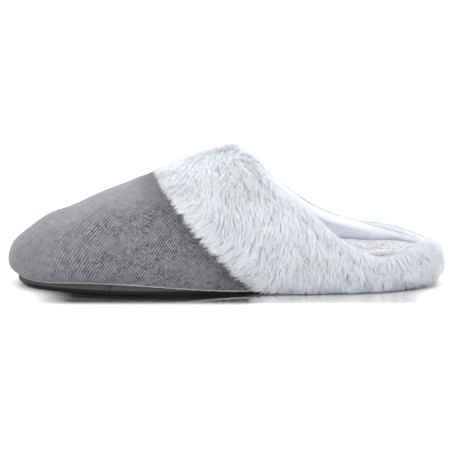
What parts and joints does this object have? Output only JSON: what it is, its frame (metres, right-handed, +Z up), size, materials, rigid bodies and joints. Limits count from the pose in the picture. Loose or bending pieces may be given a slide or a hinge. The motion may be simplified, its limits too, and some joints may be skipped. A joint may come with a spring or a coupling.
{
  "type": "house slipper",
  "caption": "Left slip-on house slipper with a ribbed velour toe, a long-pile fur cuff and heel band, a plush padded collar, a cushioned footbed and a grooved soft sole.",
  "frame": {"origin": "middle of the slipper's bounding box, at the floor", "axes": "toe towards -X and heel towards +X, outer side of the foot towards -Y, +Z up from the floor"},
  "size_m": [0.266, 0.0968, 0.085],
  "materials": {
    "outsole": "matte dark grey rubber with chevron grooves",
    "sole_wrap": "matte dark grey suede-like cloth",
    "midsole": "closed-cell foam",
    "board": "pressed fibre board",
    "memory_foam": "open-cell memory foam",
    "sock": "short off-white plush",
    "velour": "grey velour with fine slanting ribs",
    "edge": "pale grey rolled cloth edge",
    "padding": "foam interlining",
    "lining": "smooth short plush, pale blue white",
    "fur": "long-pile faux fur, pale blue white"
  },
  "bodies": {
    "root": {"outsole": "outsole", "sole_wrap": "sole_wrap", "midsole_foam": "midsole", "insole_board": "board", "memory_foam_pad": "memory_foam", "insole_sock": "sock", "vamp_velour": "velour", "vamp_edge_bead": "edge", "vamp_padding": "padding", "collar_foam": "padding", "vamp_lining": "lining", "collar_lining": "lining", "fur_cuff": "fur", "fur_heel_band": "fur"}
  },
  "joints": []
}
